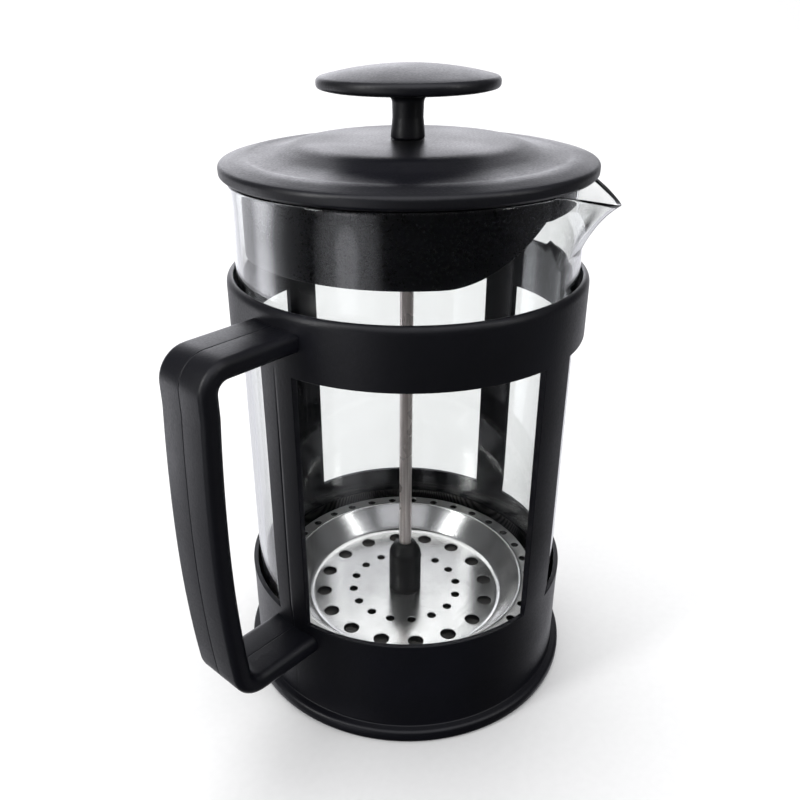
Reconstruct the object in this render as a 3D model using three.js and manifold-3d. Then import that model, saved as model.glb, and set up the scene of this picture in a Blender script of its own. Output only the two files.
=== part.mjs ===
// A French press: a glass beaker with a pouring spout stands in a moulded plastic holder with a
// handle. A lid with a pouring skirt closes it, and a filter plunger slides through the lid.
//
// Millimetres, +Z up. The origin is on the beaker's axis, in the plane of the holder's foot.
// The handle is on the -X side. Every piece is one named mesh, in a group for each moving body.

import * as THREE from "three";
import { mergeVertices } from "three/addons/utils/BufferGeometryUtils.js";
import Module from "manifold-3d";

const wasm = await Module();
wasm.setup();

// ---------------------------------------------------------------- driving dimensions

const GAP = 0.3; // between pieces that touch on the real press
const FINE = 60; // segments of the beaker, whose spout needs them
const ROUND = 44; // segments of the other large turned pieces
const SMALL = 20; // segments of rods and bosses

// holder: a frame of base cup, four posts and collar, and the handle on its side
const CUP_RADIUS = 50.4;
const CUP_HEIGHT = 35;
const CUP_FLOOR_Z = 5;
const FOOT_RADIUS = 53;
const FOOT_HEIGHT = 4; // top of the foot ring that stands proud of the cup
const HOLDER_BORE = 49.1; // radius of the socket that the beaker drops into
const COLLAR_RADIUS = 51.1;
const COLLAR_BOTTOM = 114.6;
const COLLAR_TOP = 131.5;
const POST_ANGLES = [0, 88, 180, 272]; // degrees; the side posts stand a little to the front
const POST_HALF_ANGLE = THREE.MathUtils.degToRad(6.8);
const HANDLE_WIDTH = 18.2;
const HANDLE_BEVEL = 1.5;
const ARM_THICKNESS = 5.5;
const UPPER_ARM_TOP = 127.2;
const LOWER_ARM_TOP = 31.4;
const GRIP_REACH = 81; // outermost radius of the grip, at its middle

// beaker
const GLASS_RADIUS = 48.3;
const GLASS_WALL = 1.8;
const GLASS_BOTTOM = CUP_FLOOR_Z + GAP;
const GLASS_RIM = 157.6;
const SPOUT_ROOT = 136; // height at which the spout starts to leave the wall
const SPOUT_REACH = 8.8; // how far its tip stands out from the wall
const SPOUT_DROP = 4.8; // how far its tip lies below the rim
const SPOUT_SPREAD = 24; // degrees each side of its tip over which the rim leaves its circle
const SPOUT_BLUNTNESS = 2.2; // degrees over which the tip is rounded
const SPOUT_TURN = THREE.MathUtils.degToRad(-69.5); // the beaker's turn in the holder

// lid
const LID_RADIUS = 50.9;
const LID_UNDERSIDE = GLASS_RIM + 0.5;
const LID_WALL = 2.2;
const LID_TOP = 166;
const SKIRT_RADIUS = 45.3;
const SKIRT_WALL = 1.6;
const SKIRT_BOTTOM = 138.4;
const SKIRT_SPOUT_BOTTOM = 151.2; // lower edge of the skirt in front of the spout
const BUSH_RADIUS = 4.2;

// plunger
const ROD_RADIUS = 2;
const ROD_BORE = ROD_RADIUS + GAP;
const KNOB_RADIUS = 24.2;
const KNOB_RIM_Z = 180.2;
const KNOB_TOP = 184.8;
const STEM_RADIUS = 4.2;
const STEM_BOTTOM = LID_TOP + GAP;
const PLATE_Z = 17.4; // top of the filter plate's flat middle
const PLATE_SHEET = 0.6;
const PLATE_FLAT_RADIUS = 31.5;
const FLANGE_Z = 25.3;
const FLANGE_RADIUS = 43.7;
const FILTER_RADIUS = 46.2; // the mesh's turned-up edge, which wipes the glass
const FILTER_LIP_TOP = 27.2;
const SPRING_RING = 42.9; // radius of the ring that the edge spring makes
const SPRING_TURNS = 40;

// ---------------------------------------------------------------- materials

function finish(colour, roughness, metalness) {
  return new THREE.MeshStandardMaterial({ color: colour, roughness, metalness });
}

const blackPlastic = () => finish(0x1d1e22, 0.45, 0);
const glossyBlack = () => finish(0x131316, 0.25, 0);
const polishedSteel = () => finish(0xd6d4d0, 0.15, 1);
const brushedSteel = () => finish(0xb7ada8, 0.35, 1);
const brass = () => finish(0xb08d4a, 0.35, 1);

function clearGlass() {
  const glass = finish(0xf2f5f4, 0.05, 0);
  glass.transparent = true;
  glass.opacity = 0.3;
  return glass;
}

// ---------------------------------------------------------------- geometry helpers

// Turns a closed [radius, height] outline, listed anticlockwise, about the Z axis.
function turned(outline, segments = ROUND) {
  const points = outline.map(([r, z]) => new THREE.Vector2(r, z));
  return new THREE.LatheGeometry(points, segments).rotateX(Math.PI / 2);
}

// A turned piece with a hole along its axis: the outline closes on itself.
const turnedRing = (outline, segments = ROUND) => turned([...outline, outline[0]], segments);

// A sheet-metal outline: the upper side from the inside out, and its copy one thickness below.
function sheetOutline(upperSide, thickness) {
  const lowerSide = upperSide.map(([r, z]) => [r, z - thickness]);
  return [...lowerSide, ...upperSide.toReversed()];
}

function upright(radius, bottom, top, segments = SMALL) {
  const height = top - bottom;
  return new THREE.CylinderGeometry(radius, radius, height, segments)
    .rotateX(Math.PI / 2)
    .translate(0, 0, bottom + height / 2);
}

// A side view drawn in X and Z, made solid across Y and centred on Y = 0.
function sideExtrusion(shape, width, bevel = 0) {
  const options = {
    depth: width - 2 * bevel,
    bevelEnabled: bevel > 0,
    bevelThickness: bevel,
    bevelSize: bevel,
    bevelOffset: -bevel,
    bevelSegments: 2,
    curveSegments: 6,
  };
  return new THREE.ExtrudeGeometry(shape, options)
    .rotateX(Math.PI / 2)
    .translate(0, options.depth / 2, 0);
}

function solid(geometry) {
  const bare = geometry.clone();
  bare.deleteAttribute("normal");
  bare.deleteAttribute("uv");
  const merged = mergeVertices(bare, 1e-3);
  const mesh = new wasm.Mesh({
    numProp: 3,
    vertProperties: merged.attributes.position.array,
    triVerts: new Uint32Array(merged.index.array),
  });
  return new wasm.Manifold(mesh);
}

function geometryOf(body) {
  const { numProp, numVert, vertProperties, triVerts } = body.getMesh();
  const positions = new Float32Array(numVert * 3);
  for (let i = 0; i < numVert; i++) {
    positions.set(vertProperties.subarray(i * numProp, i * numProp + 3), i * 3);
  }
  return new THREE.BufferGeometry()
    .setAttribute("position", new THREE.BufferAttribute(positions, 3))
    .setIndex(new THREE.BufferAttribute(triVerts, 1));
}

function join(first, ...others) {
  return geometryOf(others.reduce((body, other) => body.add(solid(other)), solid(first)));
}

function cut(first, ...tools) {
  return geometryOf(tools.reduce((body, tool) => body.subtract(solid(tool)), solid(first)));
}

function piece(name, geometry, material) {
  geometry.computeVertexNormals();
  const mesh = new THREE.Mesh(geometry, material);
  mesh.name = name;
  return mesh;
}

function repeatAround(count, make) {
  return Array.from({ length: count }, (_, i) => make((i * 2 * Math.PI) / count));
}

// A ring of round holes to cut, one of them at the angle `start`.
function holeRing(ringRadius, count, holeRadius, low, high, start = 0) {
  return repeatAround(count, (angle) =>
    upright(holeRadius, low, high, 8).translate(
      ringRadius * Math.cos(angle + start),
      ringRadius * Math.sin(angle + start),
      0,
    ),
  );
}

// ---------------------------------------------------------------- holder

// The cup has a foot ring that steps out from its wall, a recessed underside with a flat middle
// pad, and a round rim.
function baseCup() {
  const recess = 2.4;
  return turned([
    [0, 0],
    [12, 0],
    [12, recess],
    [45, recess],
    [45, 0],
    [FOOT_RADIUS - 1, 0],
    [FOOT_RADIUS - 0.2, 0.8],
    [FOOT_RADIUS, 2.2],
    [FOOT_RADIUS - 0.2, 3.4],
    [FOOT_RADIUS - 0.8, FOOT_HEIGHT],
    [CUP_RADIUS + 0.4, FOOT_HEIGHT + 0.2],
    [CUP_RADIUS, FOOT_HEIGHT + 0.6],
    [CUP_RADIUS, 25],
    [CUP_RADIUS + 0.2, CUP_HEIGHT - 3],
    [CUP_RADIUS - 0.1, CUP_HEIGHT - 0.8],
    [CUP_RADIUS - 0.7, CUP_HEIGHT],
    [HOLDER_BORE, CUP_HEIGHT - 0.6],
    [HOLDER_BORE, CUP_FLOOR_Z],
    [0, CUP_FLOOR_Z],
  ]);
}

function collar() {
  return turnedRing([
    [HOLDER_BORE, COLLAR_BOTTOM],
    [COLLAR_RADIUS - 0.3, COLLAR_BOTTOM],
    [COLLAR_RADIUS, COLLAR_BOTTOM + 0.6],
    [COLLAR_RADIUS, COLLAR_TOP - 2.2],
    [COLLAR_RADIUS - 0.2, COLLAR_TOP - 1],
    [COLLAR_RADIUS - 0.8, COLLAR_TOP - 0.2],
    [COLLAR_RADIUS - 1.4, COLLAR_TOP],
    [HOLDER_BORE, COLLAR_TOP - 0.4],
  ]);
}

// A post is a strip of the holder's wall between the cup and the collar.
function post(degrees) {
  const angle = THREE.MathUtils.degToRad(degrees);
  const strip = new THREE.Shape();
  strip.absarc(0, 0, COLLAR_RADIUS - 0.1, angle - POST_HALF_ANGLE, angle + POST_HALF_ANGLE);
  strip.absarc(0, 0, HOLDER_BORE, angle + POST_HALF_ANGLE, angle - POST_HALF_ANGLE, true);
  const bottom = CUP_HEIGHT - 2.5;
  const depth = COLLAR_BOTTOM + 3 - bottom;
  const options = { depth, bevelEnabled: false, curveSegments: 4 };
  return new THREE.ExtrudeGeometry(strip, options).translate(0, 0, bottom);
}

// The side view of the handle: two level arms and a slightly bowed grip.
function gripAndArms() {
  const root = -HOLDER_BORE;
  const top = UPPER_ARM_TOP;
  const bottom = LOWER_ARM_TOP - ARM_THICKNESS;
  const out = -GRIP_REACH;
  const inner = out + ARM_THICKNESS + 0.2;
  const side = new THREE.Shape();
  side.moveTo(root, top);
  side.lineTo(out + 9.5, top);
  side.quadraticCurveTo(out + 2.1, top, out + 1.5, top - 9.5);
  side.quadraticCurveTo(out - 1.6, (top + bottom) / 2, out + 2.2, bottom + 8.5);
  side.quadraticCurveTo(out + 3.4, bottom, out + 11.5, bottom);
  side.lineTo(root, bottom);
  side.lineTo(root, LOWER_ARM_TOP);
  side.lineTo(inner + 5.6, LOWER_ARM_TOP);
  side.quadraticCurveTo(inner + 2.6, LOWER_ARM_TOP, inner + 2.1, LOWER_ARM_TOP + 3);
  side.quadraticCurveTo(inner - 1.8, (top + bottom) / 2, inner + 1.7, top - ARM_THICKNESS - 5);
  side.quadraticCurveTo(inner + 2.3, top - ARM_THICKNESS, inner + 8, top - ARM_THICKNESS);
  side.lineTo(root, top - ARM_THICKNESS);
  return sideExtrusion(side, HANDLE_WIDTH, HANDLE_BEVEL);
}

function frame() {
  const whole = join(baseCup(), collar(), ...POST_ANGLES.map(post));
  const socket = upright(HOLDER_BORE, CUP_FLOOR_Z, COLLAR_TOP + 1, ROUND);
  return piece("frame", cut(whole, socket), blackPlastic());
}

function handle() {
  const cupClearance = upright(CUP_RADIUS + 0.2 + GAP, 0, CUP_HEIGHT, ROUND);
  const collarClearance = upright(COLLAR_RADIUS + GAP, CUP_HEIGHT - 1, COLLAR_TOP, ROUND);
  return piece("handle", cut(gripAndArms(), cupClearance, collarClearance), blackPlastic());
}

// ---------------------------------------------------------------- beaker

// The spout's reach at an angle from its tip, from 1 at the tip down to 0 at its spread.
function spoutShare(angle) {
  const degrees = THREE.MathUtils.radToDeg(Math.abs(angle));
  const rounding = SPOUT_BLUNTNESS * Math.exp(-degrees / 6);
  const distance = Math.hypot(degrees, SPOUT_BLUNTNESS) - rounding;
  return Math.max(0, 1 - distance / SPOUT_SPREAD) ** 1.5;
}

// Pulls the wall out and down into the spout, which points along +X of the beaker's own group.
function pullSpout(geometry) {
  const position = geometry.attributes.position;
  for (let i = 0; i < position.count; i++) {
    const [x, y, z] = [position.getX(i), position.getY(i), position.getZ(i)];
    const height = Math.max(0, (z - SPOUT_ROOT) / (GLASS_RIM - SPOUT_ROOT));
    const share = spoutShare(Math.atan2(y, x));
    const radius = Math.hypot(x, y);
    const stretch = 1 + (SPOUT_REACH * share * height ** 1.2) / Math.max(radius, 1);
    position.setXYZ(i, x * stretch, y * stretch, z - SPOUT_DROP * share * height ** 2);
  }
  return geometry;
}

function glassBeaker() {
  const inside = GLASS_RADIUS - GLASS_WALL;
  const flare = 0.6;
  const spoutHeights = [SPOUT_ROOT, 141, 146, 151];
  const outline = [
    [0, GLASS_BOTTOM],
    [GLASS_RADIUS - 9, GLASS_BOTTOM],
    [GLASS_RADIUS - 2.6, GLASS_BOTTOM + 2.6],
    [GLASS_RADIUS, GLASS_BOTTOM + 9],
    ...spoutHeights.map((z) => [GLASS_RADIUS, z]),
    [GLASS_RADIUS + flare, GLASS_RIM - 1],
    [GLASS_RADIUS + flare - 0.7, GLASS_RIM],
    [inside + 0.6, GLASS_RIM],
    [inside + 0.2, GLASS_RIM - 1],
    ...spoutHeights.toReversed().map((z) => [inside, z]),
    [inside, GLASS_BOTTOM + 10],
    [inside - 2.4, GLASS_BOTTOM + 4.4],
    [inside - 8, GLASS_BOTTOM + 2.2],
    [0, GLASS_BOTTOM + 2.2],
  ];
  return piece("glass_beaker", pullSpout(turned(outline, FINE)), clearGlass());
}

// ---------------------------------------------------------------- lid

// The cover: a brim with a shallow crease inside it, a slope up to a nearly flat top, and a boss
// round its centre hole.
function lidCover() {
  const hole = BUSH_RADIUS + GAP;
  const socket = SKIRT_RADIUS + GAP;
  const outline = [
    [hole, LID_UNDERSIDE + 2.6],
    [hole + 2.4, LID_UNDERSIDE + 2.6],
    [hole + 2.4, LID_TOP - LID_WALL],
    [27, LID_TOP - LID_WALL - 0.6],
    [36, LID_TOP - LID_WALL - 3],
    [socket - 2, LID_UNDERSIDE + 2.2],
    [socket, LID_UNDERSIDE + 2.2],
    [socket, LID_UNDERSIDE],
    [LID_RADIUS - 0.7, LID_UNDERSIDE],
    [LID_RADIUS, LID_UNDERSIDE + 0.8],
    [LID_RADIUS, LID_UNDERSIDE + 2.4],
    [LID_RADIUS - 0.9, LID_UNDERSIDE + 3.3],
    [47.5, LID_UNDERSIDE + 4.1],
    [44.5, LID_UNDERSIDE + 4.4],
    [42.5, LID_UNDERSIDE + 4.2],
    [40, LID_UNDERSIDE + 4.6],
    [35, LID_UNDERSIDE + 5],
    [31, LID_TOP - 1.9],
    [28.2, LID_TOP - 0.8],
    [24.5, LID_TOP - 0.1],
    [hole, LID_TOP],
  ];
  return piece("lid_cover", turnedRing(outline), blackPlastic());
}

// The arched opening of the skirt, seen along the spout.
function skirtArch() {
  const arch = new THREE.Shape();
  const wide = 38.5;
  const narrow = 18;
  arch.moveTo(-wide, SKIRT_BOTTOM - 1);
  arch.lineTo(-wide, SKIRT_BOTTOM);
  arch.quadraticCurveTo(-wide + 10, SKIRT_BOTTOM + 1, -narrow, SKIRT_SPOUT_BOTTOM);
  arch.lineTo(narrow, SKIRT_SPOUT_BOTTOM);
  arch.quadraticCurveTo(wide - 10, SKIRT_BOTTOM + 1, wide, SKIRT_BOTTOM);
  arch.lineTo(wide, SKIRT_BOTTOM - 1);
  const depth = 2 * SKIRT_RADIUS;
  const options = { depth, bevelEnabled: false, curveSegments: 8 };
  return new THREE.ExtrudeGeometry(arch, options).rotateX(Math.PI / 2).rotateZ(Math.PI / 2);
}

// The skirt guides the lid in the beaker; its band in front of the spout holds back the grounds.
function lidSkirt() {
  const inside = SKIRT_RADIUS - SKIRT_WALL;
  const top = LID_UNDERSIDE + 2.2 - GAP;
  const ring = turnedRing([
    [inside, SKIRT_BOTTOM],
    [SKIRT_RADIUS, SKIRT_BOTTOM],
    [SKIRT_RADIUS, top],
    [inside, top],
  ]);
  return piece("lid_skirt", cut(ring, skirtArch()), blackPlastic());
}

// The bush lines the lid's centre hole, and the plunger rod slides in it.
function rodGuideBush() {
  const outline = [
    [ROD_BORE, LID_UNDERSIDE + 1.2],
    [BUSH_RADIUS + 1.4, LID_UNDERSIDE + 1.2],
    [BUSH_RADIUS + 1.4, LID_UNDERSIDE + 2.6 - GAP],
    [BUSH_RADIUS, LID_UNDERSIDE + 2.6 - GAP],
    [BUSH_RADIUS, LID_TOP],
    [ROD_BORE, LID_TOP],
  ];
  return piece("rod_guide_bush", turnedRing(outline, SMALL), glossyBlack());
}

// ---------------------------------------------------------------- plunger

// A shallow domed disc on a waisted stem, with a blind hole for the threaded insert.
function knob() {
  const hole = 3;
  const holeTop = KNOB_RIM_Z - 0.6;
  const outline = [
    [0, holeTop],
    [hole, holeTop],
    [hole, STEM_BOTTOM],
    [STEM_RADIUS + 0.1, STEM_BOTTOM],
    [STEM_RADIUS + 0.4, STEM_BOTTOM + 0.8],
    [STEM_RADIUS, STEM_BOTTOM + 4],
    [STEM_RADIUS, KNOB_RIM_Z - 4.4],
    [STEM_RADIUS + 0.9, KNOB_RIM_Z - 2.9],
    [KNOB_RADIUS - 6, KNOB_RIM_Z - 2.1],
    [KNOB_RADIUS - 1.6, KNOB_RIM_Z - 1.5],
    [KNOB_RADIUS - 0.3, KNOB_RIM_Z - 0.8],
    [KNOB_RADIUS, KNOB_RIM_Z + 0.2],
    [KNOB_RADIUS - 0.5, KNOB_RIM_Z + 1.2],
    [KNOB_RADIUS - 4, KNOB_RIM_Z + 2.7],
    [KNOB_RADIUS - 10, KNOB_RIM_Z + 3.8],
    [7, KNOB_TOP - 0.2],
    [0, KNOB_TOP],
  ];
  return piece("knob", turned(outline, 36), blackPlastic());
}

function knobInsert() {
  const outline = [
    [ROD_BORE, STEM_BOTTOM + 0.6],
    [2.7, STEM_BOTTOM + 0.6],
    [2.7, KNOB_RIM_Z - 1],
    [ROD_BORE, KNOB_RIM_Z - 1],
  ];
  return piece("knob_insert", turnedRing(outline, SMALL), brass());
}

function plungerRod() {
  return piece("plunger_rod", upright(ROD_RADIUS, PLATE_Z - 5.6, KNOB_RIM_Z - 1.2), brushedSteel());
}

// The hub screws down on the rod and clamps the filter stack.
function filterHub() {
  const radius = 5.4;
  const bottom = PLATE_Z + GAP;
  const outline = [
    [ROD_BORE, bottom],
    [radius, bottom],
    [radius, bottom + 13.5],
    [radius - 0.7, bottom + 15.8],
    [radius - 2, bottom + 17.5],
    [ROD_BORE, bottom + 18.2],
  ];
  return piece("filter_hub", turnedRing(outline, SMALL), glossyBlack());
}

// The dished filter plate: two rings of holes in its flat middle, and one in its flange.
function filterPlate() {
  const upperSide = [
    [ROD_BORE + 0.1, PLATE_Z],
    [PLATE_FLAT_RADIUS, PLATE_Z],
    [PLATE_FLAT_RADIUS + 1.6, PLATE_Z + 0.9],
    [38.4, FLANGE_Z - 0.6],
    [39.5, FLANGE_Z],
    [FLANGE_RADIUS, FLANGE_Z],
  ];
  const phase = THREE.MathUtils.degToRad(-42);
  const holes = [
    ...holeRing(27.8, 16, 2.4, PLATE_Z - 2, PLATE_Z + 2, phase),
    ...holeRing(17.7, 16, 1.35, PLATE_Z - 2, PLATE_Z + 2, phase),
    ...holeRing(41.2, 32, 1.15, FLANGE_Z - 2, FLANGE_Z + 2, phase),
  ];
  const plate = cut(turnedRing(sheetOutline(upperSide, PLATE_SHEET)), ...holes);
  return piece("filter_plate", plate, polishedSteel());
}

class RingCoil extends THREE.Curve {
  constructor(ringRadius, height, coilRadius, turns) {
    super();
    Object.assign(this, { ringRadius, height, coilRadius, turns });
    this.arcLengthDivisions = turns * 24;
  }

  getPoint(t, target = new THREE.Vector3()) {
    const around = t * 2 * Math.PI * 0.996; // the two ends stop just short of each other
    const winding = around * this.turns;
    const radius = this.ringRadius + this.coilRadius * Math.cos(winding);
    const z = this.height + this.coilRadius * Math.sin(winding);
    return target.set(radius * Math.cos(around), radius * Math.sin(around), z);
  }
}

// The coil spring that lies under the flange and presses the mesh's edge against the glass.
function edgeSpring() {
  const wire = 0.28;
  const section = new THREE.Shape();
  section.absarc(0, 0, wire, 0, 2 * Math.PI);
  const coil = new RingCoil(SPRING_RING, FLANGE_Z - 2, 0.9, SPRING_TURNS);
  const options = {
    extrudePath: coil,
    steps: SPRING_TURNS * 5,
    bevelEnabled: false,
    curveSegments: 2,
  };
  return piece("edge_spring", new THREE.ExtrudeGeometry(section, options), brushedSteel());
}

// The fine mesh follows the plate, passes under the spring and turns up at the glass.
function meshScreen() {
  const low = PLATE_Z - PLATE_SHEET - GAP;
  const outline = [
    [ROD_BORE + 0.1, low - 0.4],
    [PLATE_FLAT_RADIUS + 0.6, low - 0.4],
    [PLATE_FLAT_RADIUS + 2.6, low + 0.5],
    [37.2, low + 4.3],
    [38.4, low + 4.9],
    [FILTER_RADIUS - 1.4, low + 4.9],
    [FILTER_RADIUS - 0.4, low + 6],
    [FILTER_RADIUS, FILTER_LIP_TOP],
    [FILTER_RADIUS - 0.4, FILTER_LIP_TOP],
    [FILTER_RADIUS - 0.8, low + 6.2],
    [FILTER_RADIUS - 1.6, low + 5.3],
    [38.2, low + 5.3],
    [36.9, low + 4.7],
    [PLATE_FLAT_RADIUS + 2.2, low + 0.9],
    [PLATE_FLAT_RADIUS + 0.4, low],
    [ROD_BORE + 0.1, low],
  ];
  return piece("mesh_screen", turnedRing(outline), brushedSteel());
}

// The lower plate backs the mesh; wide openings leave a rim, a middle and six spokes.
function crossPlate() {
  const top = PLATE_Z - PLATE_SHEET - 2 * GAP - 0.4;
  const bottom = top - 1;
  const disc = turnedRing([
    [ROD_BORE + 0.1, bottom],
    [30, bottom],
    [30, top],
    [ROD_BORE + 0.1, top],
  ]);
  const openings = repeatAround(6, (angle) => {
    const half = THREE.MathUtils.degToRad(23);
    const sector = new THREE.Shape();
    sector.absarc(0, 0, 26, angle - half, angle + half);
    sector.absarc(0, 0, 10, angle + half, angle - half, true);
    const options = { depth: 4, bevelEnabled: false, curveSegments: 5 };
    return new THREE.ExtrudeGeometry(sector, options).translate(0, 0, bottom - 1);
  });
  return piece("cross_plate", cut(disc, ...openings), polishedSteel());
}

// The nut under the cross plate takes the rod's threaded end and closes over it.
function plateNut() {
  const top = PLATE_Z - PLATE_SHEET - 3 * GAP - 1.4;
  const bottom = top - 4.6;
  const body = new THREE.CylinderGeometry(4.6, 4.6, top - bottom, 6)
    .rotateX(Math.PI / 2)
    .translate(0, 0, (top + bottom) / 2);
  const bore = upright(ROD_BORE, PLATE_Z - 6, top + 1);
  return piece("plate_nut", cut(body, bore), brushedSteel());
}

// ---------------------------------------------------------------- assembly

function groupOf(...children) {
  const group = new THREE.Group();
  group.add(...children);
  return group;
}

const beaker = groupOf(glassBeaker());
beaker.rotation.z = SPOUT_TURN;

const lid = groupOf(lidCover(), lidSkirt());
lid.rotation.z = SPOUT_TURN; // the skirt's arch faces the spout

const plunger = groupOf(
  knob(),
  knobInsert(),
  plungerRod(),
  filterHub(),
  filterPlate(),
  edgeSpring(),
  meshScreen(),
  crossPlate(),
  plateNut(),
);

const press = groupOf(frame(), handle(), beaker, lid, rodGuideBush(), plunger);

export default press;
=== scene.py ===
# A French press, in metres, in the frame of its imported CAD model: the beaker's axis is Z, the
# foot stands on Z = 0 and the handle points along -X. Shapes are written in millimetres.

import math

import bmesh
import bpy
from mathutils import Matrix, Vector


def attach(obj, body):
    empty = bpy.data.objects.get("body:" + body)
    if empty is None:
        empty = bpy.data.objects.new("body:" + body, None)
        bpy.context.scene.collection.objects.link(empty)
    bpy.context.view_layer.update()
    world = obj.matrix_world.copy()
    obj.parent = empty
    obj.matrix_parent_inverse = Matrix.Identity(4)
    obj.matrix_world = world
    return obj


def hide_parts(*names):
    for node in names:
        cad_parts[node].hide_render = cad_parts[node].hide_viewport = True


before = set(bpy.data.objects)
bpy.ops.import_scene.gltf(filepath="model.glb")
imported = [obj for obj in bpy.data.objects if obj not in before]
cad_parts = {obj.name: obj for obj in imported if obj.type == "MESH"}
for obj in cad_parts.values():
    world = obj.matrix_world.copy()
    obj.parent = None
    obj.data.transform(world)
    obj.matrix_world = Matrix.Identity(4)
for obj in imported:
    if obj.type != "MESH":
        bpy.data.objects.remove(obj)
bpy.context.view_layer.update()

MM = 0.001

# ------------------------------------------------------------------ dimensions, in millimetres

HOLDER_BORE = 49.1
CUP_RADIUS = 50.4
CUP_RIM = 35.0
CUP_FLOOR = 5.0
FOOT_RADIUS = 53.0
FOOT_HEIGHT = 4.1
COLLAR_RADIUS = 51.1
COLLAR_BOTTOM = 114.6
COLLAR_TOP = 131.5
POSTS = (0, 88, 180, 272)
POST_HALF_ANGLE = 6.8
SEAMS = (0, 180)
SEAM_HALF_ANGLE = 0.2
SEAM_DEPTH = 0.13
SEAM_START = 18.0
WINDOW_HEIGHTS = (CUP_RIM, 40, 60, 90, COLLAR_BOTTOM)
POST_STEPS = 16
WINDOW_STEPS = 80

HANDLE_HALF_WIDTH = 9.1
HANDLE_HALF_THICKNESS = 2.75
UPPER_ARM = 124.4
LOWER_ARM = 28.6
GRIP_MIDDLE = 76.0
GRIP_REACH = 78.1

GLASS_RADIUS = 48.3
GLASS_WALL = 1.8
GLASS_BOTTOM = 5.3
GLASS_RIM = 157.5
SPOUT_ROOT = 139.5
SPOUT_REACH = 8.8
SPOUT_DROP = 4.8
SPOUT_SPREAD = 24.0
SPOUT_BLUNTNESS = 3.0
SPOUT_TURN = -69.5
MOUTH_START = 148.0
MOUTH_FLARE = 0.6

LID_RADIUS = 50.9
LID_UNDERSIDE = 158.1
LID_TOP = 166.0
SKIRT_RADIUS = 45.3
SKIRT_WALL = 1.5
SKIRT_BOTTOM = 138.4
SKIRT_SPOUT_BOTTOM = 151.2
BUSH_RADIUS = 4.2

ROD_RADIUS = 2.0
STEM_RADIUS = 4.2
STEM_BOTTOM = 166.05
KNOB_RADIUS = 24.2
KNOB_RIM = 180.2
KNOB_TOP = 184.8

PLATE_Z = 17.4
PLATE_SHEET = 0.6
FLANGE_Z = 25.3
FLANGE_START = 39.7
FLANGE_RADIUS = 43.7
FILTER_RADIUS = 46.2
LARGE_HOLES = (27.8, 16, 2.4)
SMALL_HOLES = (17.75, 16, 1.35)
FLANGE_HOLES = (41.5, 32, 1.4)
HOLE_TURN = 3.2


# ------------------------------------------------------------------ geometry helpers


def smooth(points, steps=5):
    """A curve through the points, which are (x, y) pairs."""
    ends = [points[0]] + list(points) + [points[-1]]
    curve = []
    for before, start, end, after in zip(ends, ends[1:], ends[2:], ends[3:]):
        for step in range(steps):
            t = step / steps
            curve.append(
                tuple(
                    0.5
                    * (
                        2 * b
                        + (c - a) * t
                        + (2 * a - 5 * b + 4 * c - d) * t * t
                        + (3 * b - a - 3 * c + d) * t**3
                    )
                    for a, b, c, d in zip(before, start, end, after)
                )
            )
    return curve + [tuple(points[-1])]


def rounded(corners, steps=5, closed=True):
    """An outline of (x, y, radius) corners, each turned into an arc of that radius."""
    points = [Vector(corner[:2]) for corner in corners]
    outline = []
    for i, corner in enumerate(points):
        before = points[i - 1]
        after = points[(i + 1) % len(points)]
        radius = corners[i][2]
        at_end = not closed and i in (0, len(points) - 1)
        if radius <= 0 or at_end:
            outline.append(tuple(corner))
            continue
        back = before - corner
        ahead = after - corner
        half = back.angle(ahead) / 2
        reach = min(radius / math.tan(half), 0.49 * back.length, 0.49 * ahead.length)
        radius = reach * math.tan(half)
        middle = (back.normalized() + ahead.normalized()).normalized()
        centre = corner + middle * (radius / math.sin(half))
        first = corner + back.normalized() * reach - centre
        last = corner + ahead.normalized() * reach - centre
        sweep = math.pi - 2 * half
        for step in range(steps + 1):
            t = step / steps
            spoke = first * math.sin((1 - t) * sweep) + last * math.sin(t * sweep)
            outline.append(tuple(centre + spoke / math.sin(sweep)))
    return outline


def ring(radius, height, angles):
    return [(radius * math.cos(a), radius * math.sin(a), height) for a in angles]


def even_angles(count, start=0.0):
    return [start + 2 * math.pi * i / count for i in range(count)]


def lathe(outline, segments=240, closed=True):
    """Vertices and faces of an outline of (radius, height) pairs turned about Z."""
    vertices, rings, faces = [], [], []
    for radius, height in outline:
        first = len(vertices)
        if radius < 1e-6:
            vertices.append((0, 0, height))
            rings.append([first] * segments)
        else:
            vertices.extend(ring(radius, height, even_angles(segments)))
            rings.append(list(range(first, first + segments)))
    following = rings[1:] + (rings[:1] if closed else [])
    for low, high in zip(rings, following):
        for i in range(segments):
            j = (i + 1) % segments
            face = list(dict.fromkeys([low[i], low[j], high[j], high[i]]))
            if len(face) > 2:
                faces.append(face)
    return vertices, faces


def object_of(name, vertices, faces):
    mesh = bpy.data.meshes.new(name)
    mesh.from_pydata([Vector(v) * MM for v in vertices], [], faces)
    made = bpy.data.objects.new(name, mesh)
    bpy.context.scene.collection.objects.link(made)
    return made


def modify(obj, kind, **settings):
    modifier = obj.modifiers.new(kind.title(), kind)
    for key, value in settings.items():
        setattr(modifier, key, value)


def thicken(obj, thickness):
    modify(obj, "SOLIDIFY", thickness=thickness * MM, offset=-1, use_even_offset=True)


def soften_edges(obj, width, segments=3, angle=50):
    """Rounds the edges sharper than the angle, and keeps the faces beside them flat in shading."""
    obj.data.shade_smooth()
    modify(
        obj,
        "BEVEL",
        width=width * MM,
        segments=segments,
        limit_method="ANGLE",
        angle_limit=math.radians(angle),
        harden_normals=True,
    )


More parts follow.
